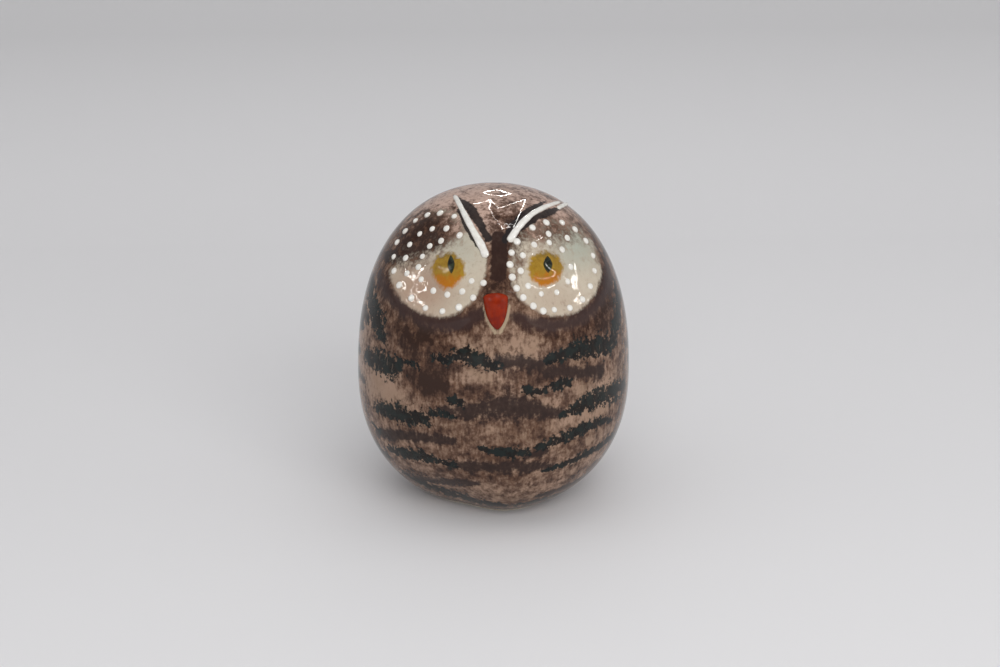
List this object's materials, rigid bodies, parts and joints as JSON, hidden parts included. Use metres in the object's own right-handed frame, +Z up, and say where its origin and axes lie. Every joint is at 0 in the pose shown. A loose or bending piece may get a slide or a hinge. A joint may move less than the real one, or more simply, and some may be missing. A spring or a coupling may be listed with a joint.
{
  "type": "figural animal coin bank",
  "caption": "Squat egg-shaped glazed ceramic owl coin bank with raised slip face decoration, a coin slot in the back of the head and a soft pull-out stopper in the base.",
  "frame": {"origin": "middle of the foot, on the surface that the bank stands on", "axes": "+Z up the owl, -Y towards the viewer that the face looks at, +X to that viewer's right"},
  "size_m": [0.104, 0.0984, 0.121],
  "materials": {
    "painted_glazed_body": "hand-painted brown, pinkish beige and black under a clear gloss glaze",
    "white_slip": "brushed white slip under a clear gloss glaze",
    "amber_enamel": "mottled amber under a clear gloss glaze",
    "black_enamel": "gloss near-black",
    "orange_enamel": "gloss red-orange, darker at the tip",
    "white_enamel": "raised gloss white",
    "soft_stopper": "matt dark rubber"
  },
  "bodies": {
    "owl": {"ceramic_shell": "painted_glazed_body", "facial_disc_left": "white_slip", "facial_disc_right": "white_slip", "iris_left": "amber_enamel", "iris_right": "amber_enamel", "pupil_left": "black_enamel", "pupil_right": "black_enamel", "beak": "orange_enamel", "brow_line_left": "white_enamel", "brow_line_right": "white_enamel", "brow_dash_right": "white_enamel", "outer_dots_left": "white_enamel", "outer_dots_right": "white_enamel", "inner_dots_left": "white_enamel", "inner_dots_right": "white_enamel"},
    "stopper": {"base_stopper": "soft_stopper"}
  },
  "joints": [
    {"name": "stopper_pull", "type": "slide", "parent": "owl", "child": "stopper", "axis": [0, 0, -1], "range_m": [0, 0.02]}
  ]
}
